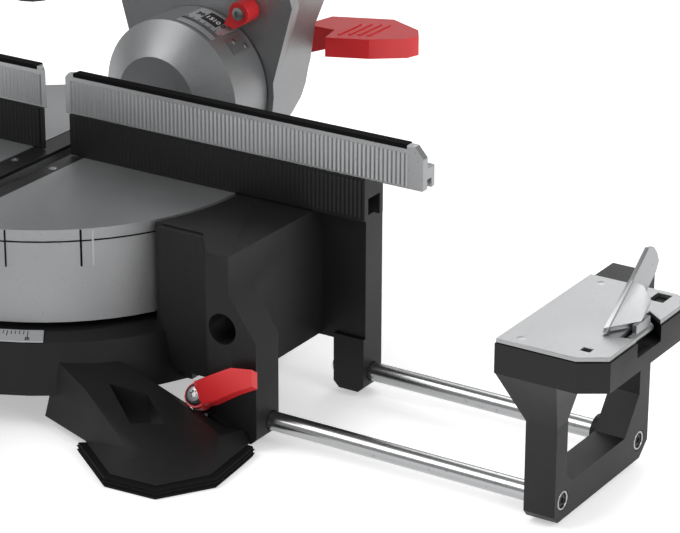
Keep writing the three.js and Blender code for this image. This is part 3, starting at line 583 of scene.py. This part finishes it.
ticks = []
for degree in range(drumSet["ticks"]):
    length = 7.0 if degree % 5 == 0 else 4.0
    place, out = drumSpot(drumSet["firstTick"] + degree, drumSet["scale"], drumSet["tickY"] + length / 2)
    ticks.append((place, (0, 1, 0), out, length))
strokes("bevelTicks", ticks, "scaleInk", "turntable")
blockStart, blockEnd = drumSet["block"]
curvedPlate("bevelBlock", 53.8, 54.12, blockStart, blockEnd, -156, -142, drumAxis, (0, -1, 0), "scaleInk",
            "turntable")
for angle, text in ((60.0, "0"), (66.0, "10"), (72.0, "15"), (80.0, "30")):
    place, out = drumSpot(angle, drumSet["figures"], drumSet["figureY"])
    ink = "whiteInk" if blockStart < angle < blockEnd else "scaleInk"
    label("bevelNumber" + text, text, 6.0, place, (out.z, 0, -out.x), (0, 1, 0), ink, "turntable")
curvedPlate("drumWindow", 52.6, drumSet["window"], 37, 49, -157, -139, drumAxis, (0, -1, 0), "anodised",
            "turntable")
for i, (angle, y) in enumerate(((40.0, 153), (46.0, 145))):
    place, out = drumSpot(angle, drumSet["window"], y)
    screw(f"drumWindowScrew{i}", place, out, 2.0, "turntable", rise=0.9)
screw("bevelPointerScrew", spot(39.3, 148.7, 60.8), (0, -1, 0), 4.4, "arm")
turned("boltCap", [(0, 0), (12, 0), (12, 2.0), (10.5, 3.2), (0, 3.2)], spot(0, 116, 3), (0, -1, 0),
       "toolSteel", "turntable")
print("scales done")

# the bevel lever's paddle has four raised grip ribs across it
for i, (x, y) in enumerate(((75, 232), (81, 236), (87, 239), (93, 241))):
    slab(f"paddleRib{i}", stadium(30, 2.0), spot(x, y, 33.8), (0, 0, 1), [(0, 0), (0, 0.6), (0.5, 1.0)],
         "redPlastic", "bevel_lever", up=(1, 0, 0))

# clamp hubs, tube ends and small screws; tubes and clamp screws share one height
tubeSet = {"z": -106.6, "y": (-73.2, 20.6), "end": 409.6}
clampSet = {"x": 173, "tilt": math.radians(35), "hubTop": 26, "screwSeat": 27.7}
clampAxis = Vector((0, -math.cos(clampSet["tilt"]), math.sin(clampSet["tilt"])))
for side, sign in sides.items():
    seat = spot(sign * clampSet["x"], tubeSet["y"][0], tubeSet["z"])
    turned("clampCollar." + side, [(0, 0), (6.6, 0), (6.6, 1.2), (5.6, 1.9), (0, 1.9)],
           seat + clampAxis * clampSet["hubTop"] * mm, clampAxis, "blackPlastic", "clamp_" + side)
    screw("clampScrew." + side, seat + clampAxis * clampSet["screwSeat"] * mm, clampAxis, 4.6,
          "clamp_" + side)
    for i, y in enumerate(tubeSet["y"]):
        screw(f"tubeScrew{i}.{side}", spot(sign * tubeSet["end"], y, tubeSet["z"]), (sign, 0, 0), 4.3,
              "support_" + side, "blackPlastic", rise=1.2)
    for i, y in enumerate((-100, -6)):
        screw(f"plateScrew{i}.{side}", spot(sign * 396, y, -0.3), (0, 0, 1), 2.6, "support_" + side, rise=0.5)
    screw("endCapScrew." + side, spot(sign * 35, 561.6, 196), (0, 1, 0), 4.0, "carriage")
    for letter, y in zip("ABCD", (-225, -120, -25, 75)):
        screw(f"kerfScrew{letter}.{side}", spot(sign * 15, y, -0.4), (0, 0, 1), 2.7, "turntable", rise=0.5)

# each front pad has two fine steps round its edge
padEdge = [(122.7, -146.1), (163.9, -175.4), (198.7, -172.9), (219.5, -141.1), (216.3, -111.6), (214, -94),
           (190, -94), (186, -116), (171, -128), (154, -141), (136, -137)]
benchZ = -122
for side, sign in sides.items():
    for i, low in enumerate((1.4, 4.0)):
        slab(f"padStep{i}.{side}", [(sign * x, y) for x, y in padEdge], spot(0, 0, benchZ + low), (0, 0, 1),
             [(-0.5, 0.0), (-0.9, 0.4), (-0.5, 0.8)], "padRubber", "base", up=(0, 1, 0))

# motor: cooling ribs round the can, vent slots in the cap drawn as dark sheets of painted shade, and two brush
# caps
motorSet = {"y": 20.0, "z": 131.0, "ribs": 8, "firstRib": 58, "ribPitch": 10, "vents": 12, "ventRadius": 20,
            "capFace": 167, "screwFace": 163.4, "screwRadius": 34, "brushX": 134, "brushRadius": 41}
motorY, motorZ = motorSet["y"], motorSet["z"]
for i in range(motorSet["ribs"]):
    turned(f"motorRib{i}", [(41.4, 0), (43.2, 0.6), (43.2, 2.4), (41.4, 3.0)],
           headSpot(motorSet["firstRib"] + motorSet["ribPitch"] * i, motorY, motorZ), (1, 0, 0),
           "blackPlastic", "head", sides=64)
# each vent slot is a dark sheet of painted shade laid on the cap face
for i in range(motorSet["vents"]):
    t = 2 * math.pi * i / motorSet["vents"]
    out = headSpot(0, math.cos(t), math.sin(t)) - headSpot(0, 0, 0)
    place = headSpot(motorSet["capFace"], motorY, motorZ) + out * motorSet["ventRadius"]
    slab(f"capVentShade{i}", stadium(13, 3.4), place - Vector((0.3 * mm, 0, 0)), (1, 0, 0), [(0, 0), (0, 0.5)],
         "blackCapAndPaintedShade", "head", up=Vector((1, 0, 0)).cross(out))
    if i % 3 == 0:
        t = 2 * math.pi * (i + 0.5) / motorSet["vents"]
        r = motorSet["screwRadius"]
        place = headSpot(motorSet["screwFace"], motorY + r * math.cos(t), motorZ + r * math.sin(t))
        screw(f"capScrew{i}", place, (1, 0, 0), 2.8, "head", rise=1.4)
for i, sign in enumerate((-1, 1)):
    out = headSpot(0, sign, 0) - headSpot(0, 0, 0)
    place = headSpot(motorSet["brushX"], motorY + sign * motorSet["brushRadius"], motorZ)
    turned(f"brushCap{i}", [(0, 0), (8, 0), (8, 3.0), (7, 4.2), (2.5, 4.2), (2.5, 3.2), (0, 3.2)], place, out,
           "blackPlastic", "head", sides=24)

# screws round the upper guard, on both faces
guardSet = {"face": 11.9, "radius": 110, "arborZ": 103}
for i, angle in enumerate((35, 75, 115, 155)):
    t = math.radians(angle)
    y, z = guardSet["radius"] * math.cos(t), guardSet["arborZ"] + guardSet["radius"] * math.sin(t)
    for sign in (-1, 1):
        screw(f"guardScrew{i}.{sign}", headSpot(sign * guardSet["face"], y, z), (sign, 0, 0), 3.0, "head",
              rise=1.2)
print("head details done")
